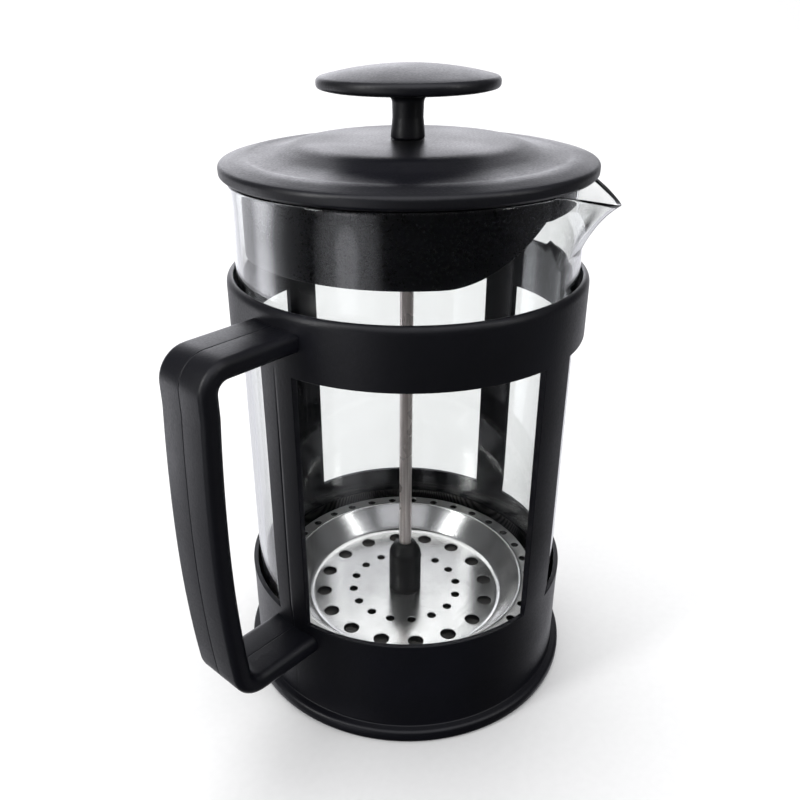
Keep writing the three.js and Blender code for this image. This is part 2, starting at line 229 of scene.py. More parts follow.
def close_seams(obj, sheet=False):
    """Merges the points that meet; a closed body's faces turn outwards, a level sheet's up."""
    work = bmesh.new()
    work.from_mesh(obj.data)
    bmesh.ops.remove_doubles(work, verts=work.verts, dist=0.002 * MM)
    if sheet:
        for face in work.faces:
            face.normal_update()
            if face.normal.z < 0:
                face.normal_flip()
    else:
        bmesh.ops.recalc_face_normals(work, faces=work.faces)
    work.to_mesh(obj.data)
    work.free()


def finish_piece(obj, material, body, slot, *nodes, crisp=38):
    """Applies the modifiers, shades the mesh, parents the piece to its CAD body and hides the CAD
    nodes it replaces.
    """
    hardened = any(m.type == "BEVEL" for m in obj.modifiers)
    graph = bpy.context.evaluated_depsgraph_get()
    mesh = bpy.data.meshes.new_from_object(obj.evaluated_get(graph))
    obj.modifiers.clear()
    obj.data = mesh
    if not hardened:
        mesh.shade_smooth()
        mesh.set_sharp_from_angle(angle=math.radians(crisp))
    obj.data.materials.clear()
    obj.data.materials.append(material)
    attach(obj, body)
    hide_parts(*nodes)
    return obj


# ------------------------------------------------------------------ material helpers


class Surface:
    """A node material with one Principled shader and the object's own coordinates."""

    def __init__(self, name, **values):
        self.material = bpy.data.materials.new(name)
        self.material.use_nodes = True
        self.tree = self.material.node_tree
        self.shader = self.tree.nodes["Principled BSDF"]
        for key, value in values.items():
            self.shader.inputs[key.replace("_", " ")].default_value = value
        self.place = self.add("TexCoord").outputs["Object"]

    def add(self, kind, inputs=None, **settings):
        node = self.tree.nodes.new("ShaderNode" + kind)
        for key, value in settings.items():
            setattr(node, key, value)
        for key, value in (inputs or {}).items():
            if isinstance(value, bpy.types.NodeSocket):
                self.tree.links.new(value, node.inputs[key])
            else:
                node.inputs[key].default_value = value
        return node

    def stretched(self, x, y, z):
        """The object's coordinates with each axis scaled."""
        mapping = self.add("Mapping", {"Vector": self.place, "Scale": (x, y, z)})
        return mapping.outputs["Vector"]

    def noise(self, scale, detail=3.0, roughness=0.5, vector=None):
        inputs = {
            "Vector": vector or self.place,
            "Scale": scale,
            "Detail": detail,
            "Roughness": roughness,
        }
        return self.add("TexNoise", inputs).outputs["Fac"]

    def between(self, factor, low, high, start=0.3, end=0.7):
        """A number that goes from low to high as the factor goes from start to end."""
        inputs = {
            "Value": factor,
            "From Min": start,
            "From Max": end,
            "To Min": low,
            "To Max": high,
        }
        return self.add("MapRange", inputs).outputs["Result"]

    def colours(self, factor, low, high, start=0.3, end=0.7):
        ramp = self.add("ValToRGB", {"Fac": factor})
        ramp.color_ramp.elements[0].position = start
        ramp.color_ramp.elements[0].color = (*low, 1)
        ramp.color_ramp.elements[1].position = end
        ramp.color_ramp.elements[1].color = (*high, 1)
        return ramp.outputs["Color"]

    def bump(self, height, distance, strength=1.0, under=None):
        inputs = {"Height": height, "Distance": distance, "Strength": strength}
        if under:
            inputs["Normal"] = under
        return self.add("Bump", inputs).outputs["Normal"]

    def sum(self, first, second):
        return self.add("Math", {0: first, 1: second}, operation="ADD").outputs[0]

    def drive(self, socket, value):
        self.tree.links.new(value, self.shader.inputs[socket])


def moulded_plastic(name, sheen, roughness, grain_depth):
    """Black polypropylene: a fine spark-eroded grain, faint flow marks and rubbed patches."""
    surface = Surface(name, Specular_IOR_Level=sheen)
    cloud = surface.noise(38, detail=4)
    grain = surface.noise(1700, detail=2)
    coarse = surface.noise(620, detail=3)
    low, high = (0.0027, 0.0028, 0.0046), (0.0044, 0.0046, 0.0076)
    surface.drive("Base Color", surface.colours(cloud, low, high))
    rubbed = surface.between(cloud, roughness + 0.05, roughness - 0.05)
    speck = surface.between(grain, -0.05, 0.05)
    surface.drive("Roughness", surface.sum(rubbed, speck))
    wide = surface.bump(coarse, grain_depth * 0.5 * MM)
    surface.drive("Normal", surface.bump(grain, grain_depth * MM, under=wide))
    return surface.material


def gloss_plastic():
    """The hub and the guide bush: smooth black plastic with fine handling marks."""
    surface = Surface("gloss_black", Specular_IOR_Level=0.5)
    cloud = surface.noise(160, detail=4)
    low, high = (0.011, 0.011, 0.0115), (0.018, 0.018, 0.019)
    surface.drive("Base Color", surface.colours(cloud, low, high))
    scuffs = surface.noise(900, detail=5, vector=surface.stretched(1, 1, 0.25))
    surface.drive("Roughness", surface.between(scuffs, 0.4, 0.5))
    surface.drive("Normal", surface.bump(scuffs, 0.001 * MM))
    return surface.material


def beaker_glass():
    """Clear borosilicate glass with a faint drawn waviness and a few dull smears."""
    surface = Surface(
        "clear_glass",
        Base_Color=(0.885, 0.895, 0.892, 1),
        Transmission_Weight=1.0,
        IOR=1.47,
    )
    wave = surface.noise(26, detail=1, vector=surface.stretched(1, 1, 0.35))
    smear = surface.noise(45, detail=6, roughness=0.65)
    surface.drive("Roughness", surface.between(smear, 0.0, 0.02, 0.5, 0.8))
    surface.drive("Normal", surface.bump(wave, 0.04 * MM, strength=0.5))
    return surface.material


def polished_steel():
    """Bright rolled sheet: a hazy polish, hair scratches, a soft unevenness and a duller rim."""
    surface = Surface("polished_steel", Metallic=0.85)
    haze = surface.noise(70, detail=4)
    hair = surface.noise(900, detail=4, vector=surface.stretched(0.12, 1.6, 1))
    low, high = (0.66, 0.655, 0.65), (0.79, 0.785, 0.78)
    surface.drive("Base Color", surface.colours(haze, low, high))
    flat = surface.stretched(1, 1, 0)
    away = surface.add("VectorMath", {0: flat}, operation="LENGTH").outputs["Value"]
    rim_start, rim_end = (FLANGE_START - 0.5) * MM, (FLANGE_START + 0.1) * MM
    duller = surface.between(away, 0, 0.2, rim_start, rim_end)
    polish = surface.between(hair, 0.17, 0.22)
    surface.drive("Roughness", surface.sum(polish, duller))
    uneven = surface.noise(40, detail=1)
    surface.drive("Normal", surface.bump(uneven, 0.02 * MM))
    return surface.material


def drawn_steel(name, metallic, dark, light):
    """Wire and rod, drawn lengthwise; the less metallic, the more its scratches scatter."""
    surface = Surface(name, Metallic=metallic)
    streak = surface.noise(1500, detail=4, vector=surface.stretched(1, 1, 0.018))
    haze = surface.noise(90, detail=3)
    surface.drive("Base Color", surface.colours(streak, dark, light, 0.38, 0.62))
    surface.drive("Roughness", surface.between(haze, 0.22, 0.36))
    surface.drive("Normal", surface.bump(streak, 0.0002 * MM))
    return surface.material


def woven_steel():
    """Filter cloth: two sets of crossing wires at a fine pitch."""
    surface = Surface("woven_steel", Metallic=1.0)
    inputs = {"Vector": surface.place, "Scale": 750.0}
    warp = surface.add("TexWave", inputs, bands_direction="X").outputs["Fac"]
    weft = surface.add("TexWave", inputs, bands_direction="Y").outputs["Fac"]
    cloth = surface.add("Math", {0: warp, 1: weft}, operation="MULTIPLY").outputs[0]
    low, high = (0.05, 0.048, 0.046), (0.16, 0.155, 0.15)
    surface.drive("Base Color", surface.colours(cloth, low, high, 0.05, 0.6))
    surface.drive("Roughness", surface.between(surface.noise(200), 0.3, 0.45))
    surface.drive("Normal", surface.bump(cloth, 0.05 * MM))
    return surface.material


def turned_brass():
    """The insert in the knob: brass with the fine rings of a lathe."""
    surface = Surface("turned_brass", Metallic=1.0)
    rings = surface.noise(1200, detail=3, vector=surface.stretched(0.05, 0.05, 1))
    surface.drive("Base Color", surface.colours(rings, (0.40, 0.26, 0.09), (0.56, 0.40, 0.17)))
    surface.drive("Roughness", surface.between(rings, 0.25, 0.4))
    surface.drive("Normal", surface.bump(rings, 0.006 * MM))
    return surface.material


HOLDER_PLASTIC = moulded_plastic("holder_plastic", 0.36, 0.39, 0.028)
LID_PLASTIC = moulded_plastic("lid_plastic", 0.5, 0.41, 0.04)
SKIRT_PLASTIC = moulded_plastic("skirt_plastic", 0.5, 0.3, 0.0006)
GLOSS_BLACK = gloss_plastic()
GLASS = beaker_glass()
POLISHED = polished_steel()
ROD_STEEL = drawn_steel("rod_steel", 0.55, (0.63, 0.55, 0.53), (0.93, 0.87, 0.84))
SPRING_STEEL = drawn_steel("spring_steel", 1.0, (0.05, 0.05, 0.05), (0.18, 0.17, 0.17))
WOVEN = woven_steel()
BRASS = turned_brass()


# ------------------------------------------------------------------ holder


def window_angles():
    """Angles round the holder, in degrees: fine over each post, even over each window."""
    angles = []
    for post, following in zip(POSTS, POSTS[1:] + (POSTS[0] + 360,)):
        for step in range(POST_STEPS):
            angles.append(post - POST_HALF_ANGLE + 2 * POST_HALF_ANGLE * step / POST_STEPS)
            if post in SEAMS and step == POST_STEPS // 2 - 1:
                angles.append(post - SEAM_HALF_ANGLE)
            if post in SEAMS and step == POST_STEPS // 2:
                angles.append(post + SEAM_HALF_ANGLE)
        width = following - post - 2 * POST_HALF_ANGLE
        for step in range(WINDOW_STEPS):
            angles.append(post + POST_HALF_ANGLE + width * step / WINDOW_STEPS)
    return angles


def in_window(angle):
    """Whether the strip of wall that starts at this angle lies over a window."""
    offsets = [(angle - post + 180) % 360 - 180 for post in POSTS]
    low, high = -POST_HALF_ANGLE - 0.01, POST_HALF_ANGLE - 0.01
    return not any(low < offset < high for offset in offsets)


def holder_outline():
    """The wall's outline, and where in it the outer and the inner edge of the windows start."""
    foot = rounded(
        [
            (0, 0, 0),
            (12, 0, 0.6),
            (12, 2.4, 0.6),
            (45, 2.4, 0.6),
            (45, 0, 0.8),
            (FOOT_RADIUS - 0.15, 0, 1.2),
            (FOOT_RADIUS, 2.2, 1.5),
            (FOOT_RADIUS - 0.15, FOOT_HEIGHT, 1.15),
            (CUP_RADIUS, FOOT_HEIGHT + 0.25, 0.35),
            (CUP_RADIUS, 12, 0),
        ],
        closed=False,
    )
    flank = [(CUP_RADIUS, 20), (CUP_RADIUS, 28)]
    outside_radii = [CUP_RADIUS + 0.15, 50.95, 51.0, 51.0, COLLAR_RADIUS]
    outside = list(zip(outside_radii, WINDOW_HEIGHTS))
    lip = smooth(
        [
            (COLLAR_RADIUS, COLLAR_TOP - 2.4),
            (COLLAR_RADIUS - 0.1, COLLAR_TOP - 1.4),
            (COLLAR_RADIUS - 0.45, COLLAR_TOP - 0.6),
            (COLLAR_RADIUS - 0.95, COLLAR_TOP - 0.15),
            (COLLAR_RADIUS - 1.5, COLLAR_TOP),
            (HOLDER_BORE + 0.15, COLLAR_TOP - 0.15),
            (HOLDER_BORE, COLLAR_TOP - 0.6),
        ],
        steps=3,
    )
    collar = [(COLLAR_RADIUS, COLLAR_BOTTOM + 2.5), *lip, (HOLDER_BORE, COLLAR_BOTTOM + 2.5)]
    inside = [(HOLDER_BORE, z) for z in reversed(WINDOW_HEIGHTS)]
    floor = rounded(
        [(HOLDER_BORE, 33, 0), (HOLDER_BORE, CUP_FLOOR, 1.2), (0, CUP_FLOOR, 0)], closed=False
    )
    first_outside = len(foot) + len(flank)
    first_inside = first_outside + len(outside) + len(collar)
    return foot + flank + outside + collar + inside + floor, first_outside, first_inside


def holder_wall(outline, degrees):
    """The outline turned about Z at these angles, with a shallow groove along each seam."""
    angles = [math.radians(a) for a in degrees]
    seam_columns = [i for i, a in enumerate(degrees) if min(abs(a - s) for s in SEAMS) < 0.01]
    vertices, rows = [], []
    for radius, height in outline:
        start = len(vertices)
        if radius < 1e-6:
            vertices.append((0, 0, height))
            rows.append([start] * len(angles))
            continue
        vertices.extend(ring(radius, height, angles))
        rows.append(list(range(start, start + len(angles))))
        if radius > HOLDER_BORE + 1 and SEAM_START < height < COLLAR_BOTTOM - 1:
            groove = (radius - SEAM_DEPTH) / radius
            for i in seam_columns:
                x, y, z = vertices[start + i]
                vertices[start + i] = (x * groove, y * groove, z)
    return vertices, rows


def wall_faces(rows, open_columns, window_rows):
    """The faces between the rows, leaving out those over the windows."""
    count = len(rows[0])
    faces = []
    for row in range(len(rows) - 1):
        for i in range(count):
            if row in window_rows and i in open_columns:
                continue
            j = (i + 1) % count
            corners = [rows[row][i], rows[row][j], rows[row + 1][j], rows[row + 1][i]]
            face = list(dict.fromkeys(corners))
            if len(face) > 2:
                faces.append(face)
    return faces


def window_reveals(outer, inner, open_columns):
    """The faces through the wall along the edges of the windows."""
    count = len(outer[0])
    last = len(outer) - 1
    faces = []
    for i in open_columns:
        j = (i + 1) % count
        for level in (0, last):
            faces.append([outer[level][i], outer[level][j], inner[level][j], inner[level][i]])
        for column, neighbour in ((i, (i - 1) % count), (j, j)):
            if neighbour in open_columns:
                continue
            for level in range(last):
                faces.append(
                    [
                        outer[level][column],
                        outer[level + 1][column],
                        inner[level + 1][column],
                        inner[level][column],
                    ]
                )
    return faces


def make_holder_frame():
    """The cup, posts and collar: one turned wall with four windows through it."""
    outline, first_outside, first_inside = holder_outline()
    degrees = window_angles()
    vertices, rows = holder_wall(outline, degrees)
    open_columns = [i for i, angle in enumerate(degrees) if in_window(angle)]
    levels = len(WINDOW_HEIGHTS)
    window_rows = [first + i for first in (first_outside, first_inside) for i in range(levels - 1)]
    faces = wall_faces(rows, open_columns, window_rows)
    outer = rows[first_outside : first_outside + levels]
    inner = rows[first_inside : first_inside + levels][::-1]
    faces += window_reveals(outer, inner, open_columns)
    obj = object_of("holder_frame", vertices, faces)
    close_seams(obj)
    soften_edges(obj, 0.55)
    return finish_piece(obj, HOLDER_PLASTIC, "holder", "black_plastic", "frame")


def grip_line():
    """The handle's middle line as (x, z) points, from the collar out, down and back in."""
    top, bottom, steps = 113.0, 40.0, 16
    upper_bow, lower_bow, bow_height = 1.9, 2.8, 45.0
    grip = []
    for step in range(steps + 1):
        z = top - step * (top - bottom) / steps
        bow = upper_bow if z > GRIP_MIDDLE else lower_bow
        grip.append((-(GRIP_REACH - bow * ((z - GRIP_MIDDLE) / bow_height) ** 2), z, 0))
    root = -HOLDER_BORE + 0.4
    corners = [(root, UPPER_ARM, 0), (-(GRIP_REACH - 1.2), UPPER_ARM, 6.6)]
    corners += grip + [(-(GRIP_REACH - 3.1), LOWER_ARM, 7.2), (root, LOWER_ARM, 0)]
    return [Vector(p) for p in rounded(corners, steps=10, closed=False)]


def along(line, count, crowding=0.9):
    """Points and directions along a line, closer together near its two ends."""
    lengths = [0.0]
    for a, b in zip(line, line[1:]):
        lengths.append(lengths[-1] + (b - a).length)
    stations = []
    index = 0
    for i in range(count):
        t = i / (count - 1)
        wanted = lengths[-1] * (t - crowding * math.sin(2 * math.pi * t) / (2 * math.pi))
        while index < len(line) - 2 and lengths[index + 1] < wanted:
            index += 1
        share = (wanted - lengths[index]) / (lengths[index + 1] - lengths[index])
        stations.append(line[index].lerp(line[index + 1], share))
    directions = []
    for i in range(count):
        ahead = stations[min(i + 2, count - 1)] - stations[max(i - 2, 0)]
        directions.append(ahead.normalized())
    return stations, directions


def handle_section():
    """The handle's section as (across, out) pairs, with a parting line down both faces."""
    w, h = HANDLE_HALF_WIDTH, HANDLE_HALF_THICKNESS
    notch, depth = 0.2, 0.11
    corners = [
        (w, -h, 2.2),
        (w, h, 1.9),
        (notch, h, 0.12),
        (0, h - depth, 0),
        (-notch, h, 0.12),
        (-w, h, 1.9),
        (-w, -h, 2.2),
        (-notch, -h, 0.12),
        (0, depth - h, 0),
        (notch, -h, 0.12),
    ]
    return rounded(corners, steps=5)


def make_handle():
    """The bar swept along its line; its two ends are hollowed to the curve of the socket."""
    stations, directions = along(grip_line(), 220)
    section = handle_section()
    vertices, faces = [], []
    for centre, direction in zip(stations, directions):
        outward = Vector((direction.y, -direction.x))
        for across, out in section:
            spot = centre + outward * out
            socket = -math.sqrt((HOLDER_BORE + 0.5) ** 2 - across * across)
            vertices.append((min(spot.x, socket), across, spot.y))
    size = len(section)
    for row in range(len(stations) - 1):
        for i in range(size):
            j = (i + 1) % size
            a, b = row * size, (row + 1) * size
            faces.append([a + i, a + j, b + j, b + i])
    faces.append(list(range(size)))
    faces.append(list(range(len(vertices) - size, len(vertices))))
    obj = object_of("holder_handle", vertices, faces)
    close_seams(obj)
    return finish_piece(obj, HOLDER_PLASTIC, "holder", "black_plastic", "handle", crisp=50)


# ------------------------------------------------------------------ beaker


def spout_share(angle):
    """The spout's reach at an angle in degrees from its tip, from 1 down to 0."""
    rounding = SPOUT_BLUNTNESS * math.exp(-angle / 6)
    distance = math.hypot(angle, SPOUT_BLUNTNESS) - rounding
    return max(0.0, 1 - distance / SPOUT_SPREAD) ** 1.3


def pulled(vertex):
    """Moves a point of the round beaker out and down into the spout."""
    x, y, z = vertex
    radius = math.hypot(x, y)
    if z <= SPOUT_ROOT or radius < 1:
        return x, y, z
    height = (z - SPOUT_ROOT) / (GLASS_RIM - SPOUT_ROOT)
    angle = math.degrees(math.atan2(y, x)) - SPOUT_TURN
    angle = abs((angle + 180) % 360 - 180)
    share = spout_share(angle)
    stretch = 1 + SPOUT_REACH * share * height**1.15 / radius
    return x * stretch, y * stretch, z - SPOUT_DROP * share * height**2


def mouth_flare(z):
    """How far the wall leans out at a height near the mouth."""
    return MOUTH_FLARE * max(0.0, (z - MOUTH_START) / (GLASS_RIM - MOUTH_START)) ** 2


def make_beaker():
    """The round beaker, with the finely divided top of its wall drawn out into the spout."""
    inside = GLASS_RADIUS - GLASS_WALL
    lowest, level_gap = GLASS_RIM - 27.5, 1.05
    levels = [lowest + level_gap * i for i in range(25)]
    bottom = rounded(
        [(0, GLASS_BOTTOM, 0), (GLASS_RADIUS, GLASS_BOTTOM, 8.5), (GLASS_RADIUS, 60, 0)],
        steps=12,
        closed=False,
    )
    outer = [(GLASS_RADIUS + mouth_flare(z), z) for z in levels]
    rim = rounded(
        [
            (GLASS_RADIUS + 0.5, GLASS_RIM - 1.2, 0),
            (GLASS_RADIUS + MOUTH_FLARE, GLASS_RIM, 0.85),
            (inside + MOUTH_FLARE, GLASS_RIM, 0.85),
            (inside + 0.5, GLASS_RIM - 1.2, 0),
        ],
        closed=False,
    )
    inner = [(inside + mouth_flare(z), z) for z in reversed(levels)]
    floor = rounded(
        [(inside, 60, 0), (inside, GLASS_BOTTOM + 2.1, 7), (0, GLASS_BOTTOM + 2.1, 0)],
        steps=12,
        closed=False,
    )
    vertices, faces = lathe(bottom + outer + rim + inner + floor, segments=360)
    obj = object_of("beaker", [pulled(v) for v in vertices], faces)
    close_seams(obj)
    return finish_piece(obj, GLASS, "beaker", "clear_glass", "glass_beaker", crisp=60)


# ------------------------------------------------------------------ lid


def make_lid_cover():
    """The cover: a brim, a shallow valley, a slope and a nearly flat top."""
    hole = BUSH_RADIUS + 0.25
    top = smooth(
        [
            (48.8, 161.85),
            (46.4, 162.45),
            (44.4, 162.66),
            (42.8, 162.58),
            (41.2, 162.66),
            (38.5, 162.95),
            (35.8, 163.5),
            (33.0, 164.45),
            (30.4, 165.4),
            (28.2, 165.78),
            (25.6, 165.88),
            (20, 165.93),
            (14, 165.96),
            (7, LID_TOP),
        ]
    )
    edge = rounded(
        [
            (45.6, LID_UNDERSIDE + 2.0, 0.4),
            (45.6, LID_UNDERSIDE, 0.2),
            (LID_RADIUS - 0.8, LID_UNDERSIDE, 0.5),
            (LID_RADIUS - 0.1, LID_UNDERSIDE + 0.7, 0.5),
            (LID_RADIUS, LID_UNDERSIDE + 3.2, 1.2),
            (48.8, 161.85, 0),
        ],
        closed=False,
    )
    bore = rounded(
        [
            (7, LID_TOP, 0),
            (hole, LID_TOP, 0.3),
            (hole, LID_UNDERSIDE + 2.6, 0.2),
            (6.6, LID_UNDERSIDE + 2.6, 0.3),
            (6.6, 163.5, 0.5),
            (27, 163.2, 2),
            (36, 160.9, 2),
            (43, 160.1, 1),
        ],
        closed=False,
    )
    obj = object_of("lid_top", *lathe(edge + top + bore, segments=280))
    close_seams(obj)
    return finish_piece(obj, LID_PLASTIC, "lid", "black_plastic", "lid_cover", crisp=50)


def skirt_edge(angle):
    """Height of the skirt's lower edge at an angle from the spout, in degrees."""
    arch_end, arch_slope = 58, 35
    share = min(1.0, max(0.0, (arch_end - abs(angle)) / arch_slope))
    return SKIRT_BOTTOM + (SKIRT_SPOUT_BOTTOM - SKIRT_BOTTOM) * share**1.75


def make_lid_skirt():
    """A short sleeve with an arch in front of the spout."""
    top = LID_UNDERSIDE + 1.9
    count, rows = 360, 6
    vertices, faces = [], []
    for i in range(count):
        edge = skirt_edge(i if i <= 180 else i - 360)
        spoke = math.radians(i + SPOUT_TURN)
        x, y = SKIRT_RADIUS * math.cos(spoke), SKIRT_RADIUS * math.sin(spoke)
        for row in range(rows):
            vertices.append((x, y, edge + (top - edge) * row / (rows - 1)))
    for i in range(count):
        j = (i + 1) % count
        for row in range(rows - 1):
            a, b = i * rows + row, j * rows + row
            faces.append([a, b, b + 1, a + 1])
    obj = object_of("lid_sleeve", vertices, faces)
    thicken(obj, SKIRT_WALL)
    soften_edges(obj, 0.3, segments=2)
    return finish_piece(obj, SKIRT_PLASTIC, "lid", "black_plastic", "lid_skirt")


def make_guide_bush():
    """The lining of the lid's hole, with a shoulder under the cover."""
    bore = ROD_RADIUS + 0.25
    outline = rounded(
        [
            (bore, LID_UNDERSIDE + 1.2, 0.3),
            (BUSH_RADIUS + 1.4, LID_UNDERSIDE + 1.2, 0.4),
            (BUSH_RADIUS + 1.4, LID_UNDERSIDE + 2.3, 0.3),
            (BUSH_RADIUS, LID_UNDERSIDE + 2.3, 0.1),
            (BUSH_RADIUS, LID_TOP, 0.4),
            (bore, LID_TOP, 0.4),
        ]
    )
    obj = object_of("guide_bush", *lathe(outline, segments=72))
    close_seams(obj)
    return finish_piece(obj, GLOSS_BLACK, "guide", "gloss_black", "rod_guide_bush")


# ------------------------------------------------------------------ plunger


def make_knob():
    """A waisted stem that opens into a shallow domed disc with a blunt round edge."""
    dome_fall = 3.15
    dome = [
        (radius, KNOB_TOP - dome_fall * (radius / KNOB_RADIUS) ** 2)
        for radius in (21.2, 19.0, 16.5, 14.0, 11.0, 8.0, 5.0, 2.5, 0.0)
    ]
    outline = rounded(
        [
            (0, KNOB_RIM - 0.6, 0),
            (3, KNOB_RIM - 0.6, 0.2),
            (3, STEM_BOTTOM, 0.2),
            (STEM_RADIUS + 0.45, STEM_BOTTOM, 0.9),
            (STEM_RADIUS + 0.25, STEM_BOTTOM + 2.4, 2),
            (STEM_RADIUS - 0.05, STEM_BOTTOM + 5.5, 4),
            (STEM_RADIUS + 0.05, KNOB_RIM - 4.2, 3),
            (STEM_RADIUS + 1.3, KNOB_RIM - 2.9, 1.2),
            (14, KNOB_RIM - 2.35, 10),
            (KNOB_RADIUS - 2.2, KNOB_RIM - 1.6, 3),
            (KNOB_RADIUS - 0.1, KNOB_RIM - 1.05, 1.1),
            (KNOB_RADIUS, KNOB_RIM + 1.45, 1.4),
            (*dome[0], 0),
        ],
        closed=False,
    )
    obj = object_of("plunger_knob", *lathe(outline + smooth(dome, 3), segments=220))
    close_seams(obj)
    return finish_piece(obj, LID_PLASTIC, "plunger", "black_plastic", "knob", crisp=50)


def make_rod():
    """The rod, from the nut up into the knob."""
    low, high = PLATE_Z - 5.6, KNOB_RIM - 1.2
    outline = rounded([(0, low, 0), (ROD_RADIUS, low, 0.5), (ROD_RADIUS, high, 0.3), (0, high, 0)])
    obj = object_of("rod", *lathe(outline, segments=64))
    close_seams(obj)
    return finish_piece(obj, ROD_STEEL, "plunger", "brushed_steel", "plunger_rod")


def make_hub():
    """The sleeve on the plate, rounded in towards the rod at its top."""
    bore = ROD_RADIUS + 0.25
    bottom = PLATE_Z + 0.1
    outline = rounded(
        [
            (bore, bottom, 0),
            (5.4, bottom, 0.35),
            (5.35, bottom + 10, 0),
            (5.3, bottom + 14.8, 3.2),
            (3.4, bottom + 17.9, 1.2),
            (bore, bottom + 18.4, 0),
        ],
        steps=8,
    )
    obj = object_of("hub", *lathe(outline, segments=96))
    close_seams(obj)
    return finish_piece(obj, GLOSS_BLACK, "plunger", "gloss_black", "filter_hub", crisp=60)


def circle_edges(work, centre, radius, z, count):
    """Adds a flat circle of edges to a mesh in the making, in millimetres."""
    points = []
    for a in even_angles(count):
        x = centre[0] + radius * math.cos(a)
        y = centre[1] + radius * math.sin(a)
        points.append(work.verts.new((x, y, z)))
    return [work.edges.new((points[i], points[(i + 1) % count])) for i in range(count)]


def holed_disc(inner, outer, z, rings, segments=240):
    """A flat washer with rings of round holes, each (ring radius, count, hole radius).

    Each hole has a narrow lip that turns down into it."""
    lip_width, lip_drop, hole_segments = 0.14, 0.1, 28
    work = bmesh.new()
    edges = circle_edges(work, (0, 0), outer, z, segments)
    edges += circle_edges(work, (0, 0), inner, z, segments if inner > 20 else 48)
    lips = []
    for ring_radius, count, hole_radius in rings:
        for a in even_angles(count, math.radians(HOLE_TURN)):
            centre = (ring_radius * math.cos(a), ring_radius * math.sin(a))
            rim = circle_edges(work, centre, hole_radius + lip_width, z, hole_segments)
            throat = circle_edges(work, centre, hole_radius, z - lip_drop, hole_segments)
            lips.append((rim, throat))
            edges += rim
    bmesh.ops.triangle_fill(work, use_beauty=True, edges=edges)
    for rim, throat in lips:
        for upper, lower in zip(rim, throat):
            work.faces.new([*upper.verts, lower.verts[1], lower.verts[0]])
    work.verts.index_update()
    vertices = [tuple(v.co) for v in work.verts]
    faces = [[v.index for v in face.verts] for face in work.faces]
    work.free()
    return vertices, faces


def joined(*meshes):
    """One mesh made of several."""
    vertices, faces = [], []
    for some_vertices, some_faces in meshes:
        start = len(vertices)
        vertices.extend(some_vertices)
        faces.extend([[start + i for i in face] for face in some_faces])
    return vertices, faces


def make_filter_plate():
    """The pierced plate: a flat middle, a rising wall and a flange, one sheet thick."""
    flat = 31.0
    middle = holed_disc(ROD_RADIUS + 0.3, flat, PLATE_Z, [LARGE_HOLES, SMALL_HOLES])
    wall = smooth(
        [
            (flat, PLATE_Z),
            (32.0, PLATE_Z + 0.16),
            (33.2, PLATE_Z + 0.95),
            (36.0, PLATE_Z + 4.3),
            (37.9, PLATE_Z + 6.9),
            (38.6, FLANGE_Z + 0.05),
            (39.1, FLANGE_Z + 0.22),
            (FLANGE_START, FLANGE_Z),
        ],
        steps=6,
    )
    flange = holed_disc(FLANGE_START, FLANGE_RADIUS, FLANGE_Z, [FLANGE_HOLES])
    sheet = joined(middle, lathe(wall, closed=False), flange)
    obj = object_of("plate", *sheet)
    close_seams(obj, sheet=True)
    thicken(obj, PLATE_SHEET)
    return finish_piece(obj, POLISHED, "plunger", "polished_steel", "filter_plate", crisp=24)


def make_mesh_screen():
    """The cloth under the plate, turned up at its edge along the glass."""
    low = PLATE_Z - PLATE_SHEET - 0.3
    line = smooth(
        [
            (ROD_RADIUS + 0.4, low),
            (32.4, low),
            (34.6, low + 1.2),
            (37.1, low + 4.7),
            (38.6, low + 5.3),
            (44.2, low + 5.3),
            (45.4, low + 6.2),
            (FILTER_RADIUS - 0.25, 26.0),
            (FILTER_RADIUS - 0.15, 27.2),
        ],
        steps=4,
    )
    obj = object_of("filter_cloth", *lathe(line, closed=False))
    close_seams(obj, sheet=True)
    thicken(obj, 0.3)
    return finish_piece(obj, WOVEN, "plunger", "brushed_steel", "mesh_screen")


def make_edge_spring():
    """A fine wire coil that runs in a ring under the flange."""
    turns, steps, sides = 120, 12, 6
    ring_radius, coil_radius, wire, middle = 42.9, 0.85, 0.22, FLANGE_Z - 2
    total = turns * steps
    vertices, faces = [], []
    for i in range(total):
        around = 2 * math.pi * 0.998 * i / (total - 1)
        winding = around * turns
        out = Vector((math.cos(around), math.sin(around), 0))
        up = Vector((0, 0, 1))
        bar = out * math.cos(winding) + up * math.sin(winding)
        centre = out * ring_radius + up * middle + bar * coil_radius
        forward = Vector((-math.sin(around), math.cos(around), 0))
        for side in range(sides):
            a = 2 * math.pi * side / sides
            vertices.append(centre + (bar * math.cos(a) + forward * math.sin(a)) * wire)
    for i in range(total - 1):
        for side in range(sides):
            other = (side + 1) % sides
            a, b = i * sides, (i + 1) * sides
            faces.append([a + side, a + other, b + other, b + side])
    faces.append(list(range(sides)))
    faces.append(list(range(len(vertices) - sides, len(vertices))))
    obj = object_of("spring", vertices, faces)
    close_seams(obj)
    return finish_piece(obj, SPRING_STEEL, "plunger", "brushed_steel", "edge_spring", crisp=70)


